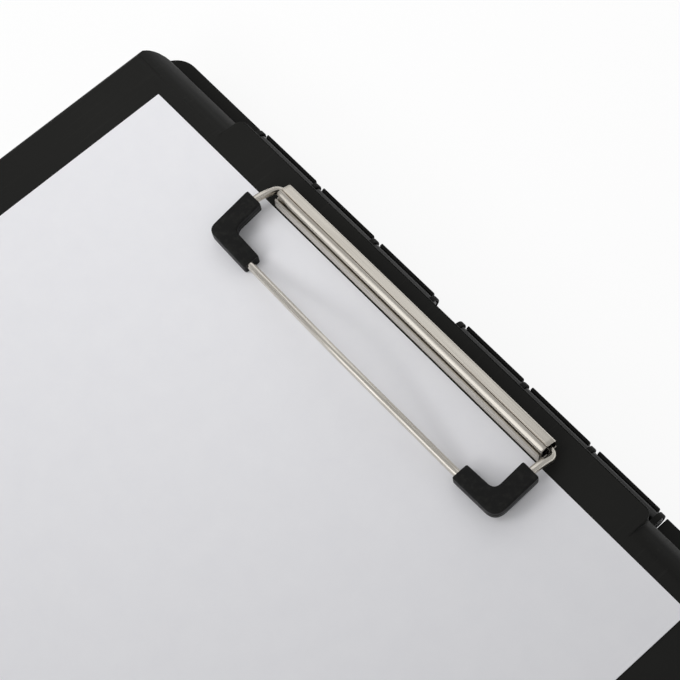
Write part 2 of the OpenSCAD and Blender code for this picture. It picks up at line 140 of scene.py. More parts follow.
@dataclass(frozen=True)
class Finish:
    """One finish, which makes its material once: two colours in a pattern, and a relief.

    rough holds the roughness at the low and the high end of a pattern, relief holds the bump's
    strength and its height in millimetres, and fixed holds the shader's sockets with one value.
    A span holds two values of a pattern and the two shares that they turn into.
    """

    slot: str
    name: str
    colour: str
    second_colour: str
    rough: Pair
    relief: Pair
    fixed: Fixed

    def material(self) -> bpy.types.Material:
        """Makes the finish's material, or finds the one made before."""
        made = bpy.data.materials.get(self.name)
        if made is None:
            made = bpy.data.materials.new(self.name)
            made.use_nodes = True
            self.dress(made.node_tree)
        return made

    def dress(self, tree: Tree) -> None:
        """Adds the finish's own patterns, and coats the shader with them."""
        raise NotImplementedError

    def over(self, tree: Tree, colour: Socket) -> Socket:
        """What lies over the two colours. Most finishes have nothing there."""
        return colour

    def coat(self, tree: Tree, share: Node, wave: Node, height: Node,
             ends: Pair = (0.3, 0.7)) -> None:
        """Gives the shader its colour, roughness, relief and fixed values.

        Args:
            tree: the material's node tree.
            share: how much of the second colour shows, from 0 to 1.
            wave: the pattern that the roughness follows.
            height: the pattern of the relief.
            ends: the wave's values where the roughness is rough[0] and rough[1].
        """
        shader = tree.nodes["Principled BSDF"]
        colour = add_node(tree, "Mix", {
            0: share, 6: srgb(self.colour), 7: srgb(self.second_colour)}, data_type="RGBA")
        rough = add_node(tree, "MapRange", (wave, *ends, *self.rough))
        bump = add_node(tree, "Bump", {
            "Height": height, "Strength": self.relief[0], "Distance": self.relief[1] * MM})
        tree.links.new(self.over(tree, colour.outputs[2]), shader.inputs["Base Color"])
        tree.links.new(rough.outputs[0], shader.inputs["Roughness"])
        tree.links.new(bump.outputs[0], shader.inputs["Normal"])
        for name, value in self.fixed:
            shader.inputs[name].default_value = value


@dataclass(frozen=True)
class SparkErodedAbs(Finish):
    """Black ABS from a spark-eroded mould: a fine even grain that turns gloss into a soft sheen.

    Handling leaves faint lengthwise rubs, which are a little smoother than the grain.
    """

    slot: str = "case_plastic"
    name: str = "black_abs_spark_eroded"
    colour: str = "#1b1b1a"
    second_colour: str = "#242422"
    rough: Pair = (0.64, 0.52)
    relief: Pair = (0.55, 0.012)
    fixed: Fixed = (("IOR", 1.52), ("Specular IOR Level", 0.12))
    grain_mm: float = 0.32
    flow_mm: float = 46.0
    flow_span: Span = (0.3, 0.7, 0.0, 0.45)
    rub_mm: Triple = (0.7, 30.0, 0.7)
    rub_angle: float = 12.0
    rub_span: Span = (0.62, 0.80, 0.0, 0.5)

    def dress(self, tree: Tree) -> None:
        """Adds grain, a slow change of tone and thin rubs."""
        place = add_node(tree, "TexCoord").outputs["Object"]
        # The mould's real grain is 0.1 to 0.3 mm. It is drawn a little coarser, above a pixel.
        grain = add_node(tree, "TexNoise", {
            "Vector": place, "Scale": per_mm(self.grain_mm), "Detail": 3.0, "Roughness": 0.6})
        flow = add_node(tree, "TexNoise", {
            "Vector": place, "Scale": per_mm(self.flow_mm), "Detail": 2.0})
        stretched = add_node(tree, "Mapping", {
            "Vector": place, "Rotation": (0.0, 0.0, math.radians(self.rub_angle)),
            "Scale": per_mm(self.rub_mm)})
        rub = add_node(tree, "TexNoise", {"Vector": stretched, "Scale": 1.0, "Detail": 1.0})
        rubbed = add_node(tree, "MapRange", (rub, *self.rub_span))
        toned = add_node(tree, "MapRange", (flow, *self.flow_span))
        tone = add_node(tree, "Math", (rubbed, toned), operation="ADD", use_clamp=True)
        self.coat(tree, tone, tone, grain, (0.0, 1.0))


@dataclass(frozen=True)
class DrawnAbs(Finish):
    """Smooth black ABS of the rods and the retainer: bright lights on a slightly uneven skin."""

    slot: str = "rod_plastic"
    name: str = "black_abs_smooth"
    colour: str = "#161616"
    second_colour: str = "#2a2a28"
    rough: Pair = (0.22, 0.36)
    relief: Pair = (0.25, 0.02)
    fixed: Fixed = (("IOR", 1.52),)
    ripple_mm: float = 2.4
    speck_mm: float = 0.5
    speck_span: Span = (0.58, 0.75, 0.0, 0.5)

    def dress(self, tree: Tree) -> None:
        """Adds a soft ripple and a little dust."""
        place = add_node(tree, "TexCoord").outputs["Object"]
        ripple = add_node(tree, "TexNoise", {
            "Vector": place, "Scale": per_mm(self.ripple_mm), "Detail": 2.0})
        speck = add_node(tree, "TexNoise", {
            "Vector": place, "Scale": per_mm(self.speck_mm), "Detail": 2.0})
        dusty = add_node(tree, "MapRange", (speck, *self.speck_span))
        self.coat(tree, dusty, ripple, ripple)


@dataclass(frozen=True)
class GripVinyl(Finish):
    """Soft black vinyl moulded over wire: a satin skin with a fine leathery grain and rubs."""

    slot: str = "grip_plastic"
    name: str = "black_vinyl_moulded"
    colour: str = "#1b1b1b"
    second_colour: str = "#2a2a28"
    rough: Pair = (0.44, 0.32)
    relief: Pair = (0.4, 0.01)
    fixed: Fixed = (("IOR", 1.5), ("Specular IOR Level", 0.08))
    grain_mm: float = 0.22
    mottle_mm: float = 1.6
    mottle_span: Span = (0.48, 0.72, 0.0, 0.7)

    def dress(self, tree: Tree) -> None:
        """Adds grain and mottled rubs."""
        place = add_node(tree, "TexCoord").outputs["Object"]
        # The real grain is about 0.1 mm. It is drawn twice as coarse, close to a pixel.
        grain = add_node(tree, "TexNoise", {
            "Vector": place, "Scale": per_mm(self.grain_mm), "Detail": 3.0})
        mottle = add_node(tree, "TexNoise", {
            "Vector": place, "Scale": per_mm(self.mottle_mm), "Detail": 4.0, "Roughness": 0.65})
        rubbed = add_node(tree, "MapRange", (mottle, *self.mottle_span))
        self.coat(tree, rubbed, mottle, grain)


@dataclass(frozen=True)
class NickelledSheet(Finish):
    """Bright nickel plate over rolled sheet steel.

    Rolling leaves streaks along the sheet that show through the plate, and the plating bath
    leaves fine pits, so highlights have long soft edges and a few dark specks.
    """

    slot: str = "nickel_plate"
    name: str = "nickel_plate_rolled"
    colour: str = "#d9d4cb"
    second_colour: str = "#958c80"
    rough: Pair = (0.24, 0.32)
    relief: Pair = (0.1, 0.003)
    fixed: Fixed = (("Metallic", 1.0),)
    streak_mm: Triple = (22.0, 0.24, 0.24)
    streak_span: Span = (0.35, 0.75, 0.0, 0.35)
    pit_mm: float = 0.7
    pit_span: Span = (0.08, 0.2, 0.4, 0.0)

    def dress(self, tree: Tree) -> None:
        """Adds rolling streaks along X, and pits."""
        place = add_node(tree, "TexCoord").outputs["Object"]
        # Real rolling streaks are hundredths of a millimetre wide. They are drawn coarser.
        rolled = add_node(tree, "Mapping", {"Vector": place, "Scale": per_mm(self.streak_mm)})
        streak = add_node(tree, "TexNoise", {
            "Vector": rolled, "Scale": 1.0, "Detail": 3.0, "Roughness": 0.55})
        pit = add_node(tree, "TexVoronoi", {"Vector": place, "Scale": per_mm(self.pit_mm)})
        pitted = add_node(tree, "MapRange", (pit, *self.pit_span))
        streaked = add_node(tree, "MapRange", (streak, *self.streak_span))
        dark = add_node(tree, "Math", (pitted, streaked), operation="MAXIMUM")
        self.coat(tree, dark, streak, streak)


@dataclass(frozen=True)
class SeamedNickel(NickelledSheet):
    """The same plate on the rolled tube, whose two edges meet in a seam.

    A painted shade borders the seam: an uneven brown line where the gap lies in shade.
    The inner skin is painted dark, as the shade inside the tube. The sheet's own map has
    V = 1 on that skin.
    """

    name: str = "nickel_plate_painted_shade"
    seam_shade_colour: str = "#c2b7a9"
    inner_shade_colour: str = "#35322d"
    seam_mm: float = 150.65
    seam_shade_mm: Pair = (0.1, 0.5)
    patch_mm: Triple = (9.0, 1.2, 1.2)
    patch_span: Span = (0.3, 0.65, 0.35, 1.0)

    def over(self, tree: Tree, colour: Socket) -> Socket:
        """Paints shade beside the seam in brown patches along X, and on the inner skin.

        Args:
            tree: the material's node tree.
            colour: the plate's own colour.

        Returns:
            The colour with the painted shade by the seam and on the inner skin over it.
        """
        place = add_node(tree, "TexCoord").outputs["Object"]
        axes = add_node(tree, "SeparateXYZ", {"Vector": place})
        # Painted shade: a brown band beside the seam's gap, uneven along X, stands in for the
        # groove's shade.
        off = add_node(tree, "Math", (axes.outputs["Y"], self.seam_mm * MM), operation="SUBTRACT")
        away = add_node(tree, "Math", (off,), operation="ABSOLUTE")
        near, far = (mm * MM for mm in self.seam_shade_mm)
        beside = add_node(tree, "MapRange", (away, near, far, 1.0, 0.0))
        stretched = add_node(tree, "Mapping", {"Vector": place, "Scale": per_mm(self.patch_mm)})
        patch = add_node(tree, "TexNoise", {"Vector": stretched, "Scale": 1.0, "Detail": 4.0})
        patchy = add_node(tree, "MapRange", (patch, *self.patch_span))
        share = add_node(tree, "Math", (beside, patchy), operation="MULTIPLY")
        seam_shaded = add_node(tree, "Mix", {
            0: share, 6: colour, 7: srgb(self.seam_shade_colour)}, data_type="RGBA")
        # Painted shade: the inner skin, where V = 1, is coloured dark as the shade inside the tube.
        skin = add_node(tree, "UVMap", uv_map=SKIN_MAP)
        inner = add_node(tree, "SeparateXYZ", {"Vector": skin})
        inside_shaded = add_node(tree, "Mix", {
            0: inner.outputs["Y"], 6: seam_shaded.outputs[2], 7: srgb(self.inner_shade_colour)},
            data_type="RGBA")
        return inside_shaded.outputs[2]


@dataclass(frozen=True)
class NickelledWire(Finish):
    """Bright nickel plate over drawn wire: the die leaves fine lines that follow the wire.

    The pattern reads the wire's own map, whose U runs along it and V around it, in metres.
    """

    slot: str = "nickel_wire"
    name: str = "nickel_plate_drawn"
    colour: str = "#e2ddd4"
    second_colour: str = "#9a9286"
    rough: Pair = (0.2, 0.3)
    relief: Pair = (0.1, 0.003)
    fixed: Fixed = (("Metallic", 1.0),)
    line_mm: Triple = (9.0, 0.22, 1000.0)
    line_span: Span = (0.4, 0.75, 0.0, 0.5)

    def dress(self, tree: Tree) -> None:
        """Adds die lines along the wire."""
        along = add_node(tree, "UVMap", uv_map=WIRE_MAP)
        # Real die lines are hundredths of a millimetre apart. They are drawn coarser.
        drawn = add_node(tree, "Mapping", {"Vector": along, "Scale": per_mm(self.line_mm)})
        line = add_node(tree, "TexNoise", {"Vector": drawn, "Scale": 1.0, "Detail": 3.0})
        lined = add_node(tree, "MapRange", (line, *self.line_span))
        self.coat(tree, lined, line, line)


@dataclass(frozen=True)
class TumbledSteel(Finish):
    """Plain spring steel tumbled with stones: dull, grey, and dented all over in fine pits."""

    slot: str = "spring_steel"
    name: str = "steel_tumbled"
    colour: str = "#b9b8b4"
    second_colour: str = "#8d8c88"
    rough: Pair = (0.34, 0.5)
    relief: Pair = (0.35, 0.015)
    fixed: Fixed = (("Metallic", 1.0),)
    dent_mm: float = 0.35

    def dress(self, tree: Tree) -> None:
        """Adds the dents of tumbling."""
        place = add_node(tree, "TexCoord").outputs["Object"]
        dent = add_node(tree, "TexNoise", {
            "Vector": place, "Scale": per_mm(self.dent_mm), "Detail": 3.0})
        self.coat(tree, dent, dent, dent)


@dataclass(frozen=True)
class OfficePaper(Finish):
    """Uncoated white office paper: matt, with a cloudy formation and a fine felt of fibres."""

    slot: str = "paper"
    name: str = "paper_uncoated"
    colour: str = "#ebebee"
    second_colour: str = "#e6e6ea"
    rough: Pair = (0.82, 0.92)
    relief: Pair = (0.25, 0.01)
    fixed: Fixed = (("IOR", 1.45), ("Specular IOR Level", 0.25))
    cloud_mm: float = 7.0
    fibre_mm: float = 0.35

    def dress(self, tree: Tree) -> None:
        """Adds the formation and the fibres."""
        place = add_node(tree, "TexCoord").outputs["Object"]
        cloud = add_node(tree, "TexNoise", {
            "Vector": place, "Scale": per_mm(self.cloud_mm), "Detail": 4.0, "Roughness": 0.6})
        # Real fibres are hundredths of a millimetre wide. Their felt is drawn coarser.
        fibre = add_node(tree, "TexNoise", {
            "Vector": place, "Scale": per_mm(self.fibre_mm), "Detail": 3.0, "Distortion": 1.2})
        self.coat(tree, cloud, cloud, fibre)


CASE_ABS = SparkErodedAbs()
ROD_ABS = DrawnAbs()
GRIP_VINYL = GripVinyl()
SHEET_NICKEL = NickelledSheet()
SEAM_NICKEL = SeamedNickel()
WIRE_NICKEL = NickelledWire()
STEEL = TumbledSteel()
PAPER = OfficePaper()


# ---- surfaces


class SurfaceMesh:
    """Collects grids of points and caps in millimetres, and makes one closed mesh of them."""

    def __init__(self) -> None:
        """Starts with no points."""
        self.points: list[np.ndarray] = []
        self.count = 0
        self.faces: list[list[int]] = []
        self.maps: list[np.ndarray] = []

    def add_grid(self, points: np.ndarray, close_cols: bool = False, close_rows: bool = False,
                 u: np.ndarray | None = None, v: np.ndarray | None = None) -> np.ndarray:
        """Adds a grid as quads between neighbouring rows and columns.

        Args:
            points: rows x columns x 3.
            close_cols: joins the last column to the first.
            close_rows: joins the last row to the first.
            u: one map value for each row, in metres.
            v: one map value for each column, and one more where the columns close.

        Returns:
            The index of each point, rows x columns.
        """
        rows, cols = points.shape[:2]
        index = np.arange(rows * cols).reshape(rows, cols) + self.count
        self.points.append(points.reshape(-1, 3))
        self.count += rows * cols
        ring = np.concatenate([index, index[:, :1]], axis=1) if close_cols else index
        ring = np.concatenate([ring, ring[:1]], axis=0) if close_rows else ring
        corners = (ring[:-1, :-1], ring[:-1, 1:], ring[1:, 1:], ring[1:, :-1])
        quads = np.stack(corners, axis=-1).reshape(-1, 4)
        self.faces.extend(quads.tolist())
        across = np.zeros(ring.shape) if v is None else np.broadcast_to(v, ring.shape)
        along = np.zeros(ring.shape) if u is None else np.broadcast_to(u[:, None], ring.shape)
        pair = np.stack([along, across], axis=-1)
        spread = (pair[:-1, :-1], pair[:-1, 1:], pair[1:, 1:], pair[1:, :-1])
        self.maps.append(np.stack(spread, axis=2).reshape(-1, 2))
        return index

    def add_cap(self, ring: Sequence[int]) -> None:
        """Closes a ring of points with one face."""
        self.faces.append([int(i) for i in ring])
        self.maps.append(np.zeros((len(ring), 2)))

    def add_strip(self, first: np.ndarray, second: np.ndarray) -> None:
        """Joins two rows of as many points with quads."""
        quads = np.stack([first[:-1], first[1:], second[1:], second[:-1]], axis=-1)
        self.faces.extend(quads.tolist())
        self.maps.append(np.zeros((4 * len(quads), 2)))

    def add_tube(self, rings: np.ndarray, u: np.ndarray | None = None,
                 v: np.ndarray | None = None) -> None:
        """Adds rings of points as a tube, and closes it with a face at each end."""
        index = self.add_grid(rings, close_cols=True, u=u, v=v)
        self.add_cap(index[0])
        self.add_cap(index[-1])

    def to_object(self, name: str, map_name: str = "") -> bpy.types.Object:
        """Makes the mesh, turns its faces outwards and shades it smooth but for sharp edges.

        Args:
            name: the piece's name.
            map_name: the name of its UV map, if it has one.

        Returns:
            The new object, at the origin.
        """
        mesh = bpy.data.meshes.new(name)
        mesh.from_pydata((np.concatenate(self.points) * MM).tolist(), [], self.faces)
        if map_name:
            layer = mesh.uv_layers.new(name=map_name)
            layer.data.foreach_set("uv", np.concatenate(self.maps).astype(np.float32).ravel())
        return shaded(name, mesh)


def placed(name: str, data: bpy.types.ID) -> bpy.types.Object:
    """Makes an object of this data and links it to the scene."""
    made = bpy.data.objects.new(name, data)
    bpy.context.scene.collection.objects.link(made)
    return made


def shaded(name: str, mesh: bpy.types.Mesh) -> bpy.types.Object:
    """Turns a mesh's faces outwards, shades it and links it as an object.

    Args:
        name: the object's name.
        mesh: a closed mesh.

    Returns:
        The object, at the origin.
    """
    work = bmesh.new()
    work.from_mesh(mesh)
    bmesh.ops.recalc_face_normals(work, faces=work.faces)
    work.to_mesh(mesh)
    work.free()
    mesh.polygons.foreach_set("use_smooth", np.ones(len(mesh.polygons), dtype=bool))
    mesh.set_sharp_from_angle(angle=SHARP_ANGLE)
    mesh.update()
    return placed(name, mesh)


def unit(vectors: np.ndarray) -> np.ndarray:
    """Each vector divided by its length."""
    return vectors / np.linalg.norm(vectors, axis=-1, keepdims=True)


def distances(points: np.ndarray) -> tuple[np.ndarray, np.ndarray]:
    """Each point's distance along a line of points, and its distance to the nearer end."""
    run = np.concatenate([[0], np.cumsum(np.linalg.norm(np.diff(points, axis=0), axis=1))])
    return run, np.minimum(run, run[-1] - run)


def bend(start: np.ndarray, knee: np.ndarray, end: np.ndarray, leg: float,
         steps: int) -> np.ndarray:
    """A bend as a quadratic curve: (1-t)^2 p + 2t(1-t) knee + t^2 q.

    Args:
        start: a point back along the first leg.
        knee: where the straight legs would meet.
        end: a point ahead along the second leg.
        leg: how far from the knee the curve leaves each leg, at p and q.
        steps: the number of points.

    Returns:
        steps x 3 points.
    """
    p = knee + leg * unit(start - knee)
    q = knee + leg * unit(end - knee)
    t = np.linspace(0, 1, steps)[:, None]
    return (1 - t) ** 2 * p + 2 * t * (1 - t) * knee + t ** 2 * q


def arc(centre: Sequence[float], radius: float, first: float, last: float,
        steps: int) -> np.ndarray:
    """Points centre + radius (cos a, sin a), with a from the first to the last, in degrees."""
    angle = np.radians(np.linspace(first, last, steps))
    return np.array(centre) + radius * np.stack([np.cos(angle), np.sin(angle)], axis=-1)


def lathe(profile: np.ndarray, origin: Sequence[float], axis: str, sides: int = 48,
          ring: bool = False) -> SurfaceMesh:
    """Turns a profile of (radius, height) around an axis.

    Args:
        profile: points x 2; each row becomes a ring of that radius at that height.
        origin: where height 0 lies, in millimetres.
        axis: "X" or "Z", the way that the height runs.
        sides: the number of points around the axis.
        ring: joins the profile's two ends, instead of closing each with a face.

    Returns:
        The closed surface.
    """
    angle = np.linspace(0, 2 * np.pi, sides, endpoint=False)
    radius, height = profile[:, :1], profile[:, 1:]
    around = (radius * np.cos(angle), radius * np.sin(angle), height + 0 * angle)
    order = (2, 0, 1) if axis == "X" else (0, 1, 2)
    grid = np.stack([around[i] for i in order], axis=-1) + np.array(origin)
    surface = SurfaceMesh()
    if ring:
        surface.add_grid(grid, close_cols=True, close_rows=True)
    else:
        surface.add_tube(grid)
    return surface


def sheet_strip(section: np.ndarray, thickness: float, stations: np.ndarray,
                shrink: np.ndarray, shift: np.ndarray) -> SurfaceMesh:
    """Sheet metal of one thickness: a path in the Y-Z plane, carried along X.

    The two skins are the path moved by half the thickness along its normal, on either side.
    At each station the thickness is multiplied by shrink, which rounds the cut ends, and the
    free edges of the path are rounded by a half circle of the same thickness. The map's V is
    1 on the right-hand skin of the path and 0 elsewhere.

    Args:
        section: points x 2, the middle of the sheet as (y, z), in order.
        thickness: the sheet's thickness.
        stations: the X of each row, increasing.
        shrink: the share of the thickness at each station.
        shift: stations x points x 3, added to the middle of the sheet.

    Returns:
        The closed surface.
    """
    tangent = unit(np.gradient(section, axis=0))
    normal = np.stack([tangent[:, 1], -tangent[:, 0]], axis=-1)
    half = thickness / 2
    turn = np.linspace(0, np.pi, 5)[1:-1, None]
    tail = section[-1] + half * (np.cos(turn) * normal[-1] + np.sin(turn) * tangent[-1])
    head = section[0] + half * (-np.cos(turn) * normal[0] - np.sin(turn) * tangent[0])
    loop = np.concatenate([section + half * normal, tail, (section - half * normal)[::-1], head])
    count = len(section)
    order = [*range(count), *[count - 1] * 3, *reversed(range(count)), *[0] * 3]
    flat = section[order] + shrink[:, None, None] * (loop - section[order])
    x = np.broadcast_to(stations[:, None, None], flat.shape[:2] + (1,))
    grid = np.concatenate([x, flat], axis=-1) + shift[:, order]
    skin = np.concatenate([np.zeros(count + 3), np.ones(count), np.zeros(4)])
    surface = SurfaceMesh()
    index = surface.add_grid(grid, close_cols=True, v=skin)
    outer, inner = slice(0, count), slice(count + 3, 2 * count + 3)
    for row in (0, -1):
        ring = index[row]
        surface.add_strip(ring[outer], ring[inner][::-1])
        surface.add_cap([*ring[count - 1:count + 4]])
        surface.add_cap([*ring[2 * count + 2:], ring[0]])
    return surface


def rounded_stations(low: float, high: float, steps: int) -> tuple[np.ndarray, np.ndarray]:
    """X stations from low to high whose ends close in like a filed edge.

    Args:
        low: the first X.
        high: the last X.
        steps: the number of even stations between the rounded ends.

    Returns:
        The stations, and the share of the thickness at each, which at a distance d from the
        end is sqrt(1 - (1 - d/CUT_ROUND)^2), but at least CUT_SHARE.
    """
    edge = CUT_ROUND * CUT_STEPS
    inner = np.linspace(low + CUT_ROUND, high - CUT_ROUND, steps)[1:-1]
    stations = np.concatenate([low + edge, inner, (high - edge)[::-1]])
    depth = np.minimum(np.minimum(stations - low, high - stations) / CUT_ROUND, 1.0)
    return stations, np.maximum(np.sqrt(1 - (1 - depth) ** 2), CUT_SHARE)


def dress(piece: bpy.types.Object, body: Body, finish: Finish, *replaced: str) -> None:
    """Gives a piece its finish and its body, and reports it.

    Args:
        piece: the piece, in its place.
        body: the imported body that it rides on.
        finish: its finish.
        replaced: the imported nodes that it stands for.
    """
    piece.data.materials.clear()
    piece.data.materials.append(finish.material())
    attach(piece, body.value)
    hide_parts(*replaced)
    log.info("%s: %d faces, %s, on %s", piece.name, len(piece.data.polygons), finish.name,
             body.value)


def box_mm(node: str) -> tuple[np.ndarray, np.ndarray]:
    """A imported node's lowest and highest corner, in millimetres."""
    low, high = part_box(node)
    return np.array(low) / MM, np.array(high) / MM


def bail_axle() -> np.ndarray:
    """The middle of the hinge that the bail turns on, in millimetres."""
    hinge = next(joint for joint in frame["joints"] if joint["name"] == "bail_hinge")
    return np.array(hinge["pos_m"]) / MM


# ---- case


@dataclass
class MouldedPart:
    """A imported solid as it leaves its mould: the same shape with small rounds on its edges."""

    node: str
    name: str
    body: Body
    finish: Finish = CASE_ABS
    edge_round: float = 0.25
    merge_distance: float = 0.002
    flat_angle: float = 0.4

    def build(self) -> None:
        """Copies the solid, merges its triangles into faces, rounds its edges and dresses it."""
        work = bmesh.new()
        work.from_mesh(frame["nodes"][self.node].data)
        bmesh.ops.remove_doubles(work, verts=work.verts, dist=self.merge_distance * MM)
        bmesh.ops.dissolve_degenerate(work, edges=work.edges, dist=self.merge_distance * MM)
        bmesh.ops.dissolve_limit(work, angle_limit=math.radians(self.flat_angle),
                                 verts=work.verts, edges=work.edges)
        mesh = bpy.data.meshes.new(self.name)
        work.to_mesh(mesh)
        work.free()
        piece = shaded(self.name, mesh)
        bevel = piece.modifiers.new("mould_rounds", "BEVEL")
        bevel.width = self.edge_round * MM
        bevel.segments = 2
        bevel.limit_method = "ANGLE"
        bevel.angle_limit = SHARP_ANGLE
        bevel.use_clamp_overlap = False
        bevel.harden_normals = True
        bevel.miter_outer = "MITER_ARC"
        dress(piece, self.body, self.finish, self.node)


@dataclass
class HingeRod:
    """One of the two plastic rods that join the lid's lugs to the base's barrels."""

    side: Side
    chamfer: float = 0.35
    rings: int = 40

    def build(self) -> None:
        """Turns the rod's profile around the hinge axis and dresses it."""
        node = f"{self.side.name.lower()}_hinge_rod"
        low, high = box_mm(node)
        middle = (low + high) / 2
        radius = (high[2] - low[2]) / 2
        length = high[0] - low[0]
        run = np.concatenate([[0.0], np.linspace(self.chamfer, length - self.chamfer, self.rings),
                              [length]])
        cut = np.maximum(self.chamfer - np.minimum(run, length - run), 0)
        rod = lathe(np.stack([radius - cut, run], axis=-1), (low[0], middle[1], middle[2]), "X")
        dress(rod.to_object(f"{node}_turned"), Body.LID, ROD_ABS, node)


# ---- clip


@dataclass
class ClipFitting:
    """The sprung clip on the lid: base plate, rolled tube, leaf spring, rivets and washers.

    rivet_tail holds the radius of the tail's flat face and the round of its rim, and rivet_dome
    holds the head's outline, as (radius, height).
    """

    sheet: float = 0.5
    plate: float = 0.6
    lip_bend: float = 0.4
    lip_lean: float = 0.4
    lip_corner: float = 0.6
    tube_radius: float = 2.7
    tube_fall: float = 1.1
    shoulder_angle: float = 42.0
    shoulder_radius: float = 0.9
    foot_bend: float = 1.6
    back_bend: float = 0.9
    eave_drop: float = 0.75
    seam_gap: float = 0.12
    seam_step: float = 0.06
    seam_ahead: float = 0.13
    lift_length: float = 5.0
    lift_depth: float = 1.25
    lift_spread: float = 0.62
    spring_rise: float = 0.5
    spring_sheet: float = 0.4
    spring_inset: float = 0.1
    rivet_pitch: float = 32.0
    rivet_radius: float = 1.25
    rivet_tail: Pair = (0.4, 0.3)
    rivet_dome: tuple[Pair, ...] = ((1.8, 0.0), (1.8, 0.2), (1.53, 0.5), (0.9, 0.72), (0.2, 0.8))
    washer_radius: float = 4.0
    washer_gap: float = 0.02
    washer_edge: float = 0.15
    stations: int = 90

    def __post_init__(self) -> None:
        """Reads the clip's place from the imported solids."""
        self.tube_low, self.tube_high = box_mm("clip_tube")
        self.plate_low, self.plate_high = box_mm("clip_plate")
        self.rivet_y = bail_axle()[1]

    def build(self) -> None:
        """Builds and dresses every piece of the clip."""
        dress(self.base_plate(), Body.LID, SHEET_NICKEL, "clip_plate")
        dress(self.tube(), Body.LID, SEAM_NICKEL, "clip_tube")
        dress(self.leaf_spring(), Body.LID, STEEL, "clip_leaf_spring")
        for side in Side:
            name = side.name.lower()
            rivet = self.rivet(side).to_object(f"clip_rivet_{name}")
            dress(rivet, Body.LID, STEEL, "clip_rivets")
            washer = self.washer_ring(side).to_object(f"rivet_washer_{name}")
            dress(washer, Body.LID, STEEL, "rivet_washers")

    def base_plate(self) -> bpy.types.Object:
        """The plate: flat on the lid, bent up into a lip whose two top corners are rounded.

        The lip leans back over its height, close to the tube's rolled front. At a distance
        d from an end, under the corner's radius r, it is lower by r - sqrt(r^2 - (r - d)^2), and
        the heights on the lip are scaled to that.

        Returns:
            The plate.
        """
        low, high = self.plate_low, self.plate_high
        half = self.plate / 2
        back, front, floor = high[1] - half, low[1] + half, low[2] + half
        top = high[2] - half
        knee = arc((front + self.lip_bend, floor + self.lip_bend), self.lip_bend, 270, 180, 10)
        flat = np.linspace((back, floor), (front + self.lip_bend, floor), 8)
        lip = np.linspace((front, floor + self.lip_bend), (front + self.lip_lean, top), 8)
        section = np.concatenate([flat[:-1], knee, lip[1:]])
        stations, shrink = rounded_stations(low[0], high[0], self.stations)
        near = np.minimum(stations - low[0], high[0] - stations)
        inset = np.maximum(self.lip_corner - near, 0)
        loss = self.lip_corner - np.sqrt(self.lip_corner ** 2 - inset ** 2)
        rise = np.clip((section[:, 1] - floor) / (top - floor), 0, 1)
        shift = np.zeros((len(stations), len(section), 3))
        shift[:, :, 2] = -loss[:, None] * rise
        strip = sheet_strip(section, self.plate, stations, shrink, shift)
        return strip.to_object("clip_base_plate")

    def tube_path(self) -> np.ndarray:
        """The middle of the tube's sheet, as (y, z), from the seam's front edge all the way round.

        It runs over the round front, along the floor, up the back wall and back up the slope.

        Returns:
            points x 2.
        """
        half = self.sheet / 2
        low, high = self.tube_low, self.tube_high
        centre = np.array([low[1] + self.tube_radius, high[2] - self.tube_radius])
        radius = self.tube_radius - half
        floor = low[2] + half
        back = high[1] - half
        eave = high[2] - self.tube_fall - half
        gap = math.degrees(((self.seam_gap + self.sheet) / 2 + self.seam_ahead) / radius)
        roll = arc(centre, radius, 90 + gap, 90 + self.shoulder_angle, 24)
        inner = self.shoulder_radius - half
        shoulder = arc(roll[-1] + inner * (centre - roll[-1]) / radius, inner,
                       90 + self.shoulder_angle, 180, 8)
        face = shoulder[-1, 0]
        toe = arc((face + self.foot_bend, floor + self.foot_bend), self.foot_bend, 180, 270, 12)
        front = np.concatenate([roll[:-1], shoulder, np.linspace(shoulder[-1], toe[0], 20)[1:-1],
                                toe])
        heel = arc((back - self.back_bend, floor + self.back_bend), self.back_bend, 270, 360, 8)
        ridge = np.array([centre[0] + (self.seam_gap + self.sheet) / 2 - self.seam_ahead,
                          centre[1] + radius - self.seam_step])
        slope = math.degrees(math.atan2(ridge[1] - eave, back - ridge[0]))
        eave_bend = arc((back - self.back_bend, eave - self.back_bend * self.eave_drop),
                        self.back_bend, 0, 90 - slope, 8)
        top = np.linspace(eave_bend[-1], ridge, 12)[1:]
        floor_run = np.linspace(toe[-1], heel[0], 6)[1:-1]
        return np.concatenate([front, floor_run, heel, eave_bend, top])

    def tube(self) -> bpy.types.Object:
        """The rolled tube, whose front edge has opened a little at its left end.

        There the sheet behind the lip is pushed in by lift_depth (1 - d/lift_length) at a distance
        d from the end, times exp(-(h/lift_spread)^2) at a height h from a third of lift_spread
        above the lip.

        Returns:
            The tube.
        """
        path = self.tube_path()
        stations, shrink = rounded_stations(self.tube_low[0], self.tube_high[0], self.stations)
        away = np.clip(1 - (stations - self.tube_low[0]) / self.lift_length, 0, 1)
        above = path[:, 1] - self.plate_high[2] - self.lift_spread / 3
        near_lip = np.exp(-(above / self.lift_spread) ** 2)
        front = path[:, 0] < self.tube_low[1] + self.tube_radius
        shift = np.zeros((len(stations), len(path), 3))
        shift[:, :, 1] = self.lift_depth * away[:, None] * (near_lip * front)
        strip = sheet_strip(path, self.sheet, stations, shrink, shift)
        return strip.to_object("clip_rolled_tube", SKIN_MAP)

    def leaf_spring(self) -> bpy.types.Object:
        """The leaf spring: an arch z = rise (1 - (x/half)^2) of flat strip inside the tube."""
        low, high = box_mm("clip_leaf_spring")
        x, shrink = rounded_stations(low[0], high[0], 40)
        arch = self.spring_rise * (1 - (x / high[0]) ** 2)
        base = low[2] + self.spring_sheet / 2
        section = np.linspace((low[1] + self.spring_inset, base),
                              (high[1] - self.spring_inset, base), 6)
        shift = np.zeros((len(x), len(section), 3))
        shift[:, :, 2] = arch[:, None]
        strip = sheet_strip(section, self.spring_sheet, x, shrink, shift)
        return strip.to_object("clip_spring_strip")

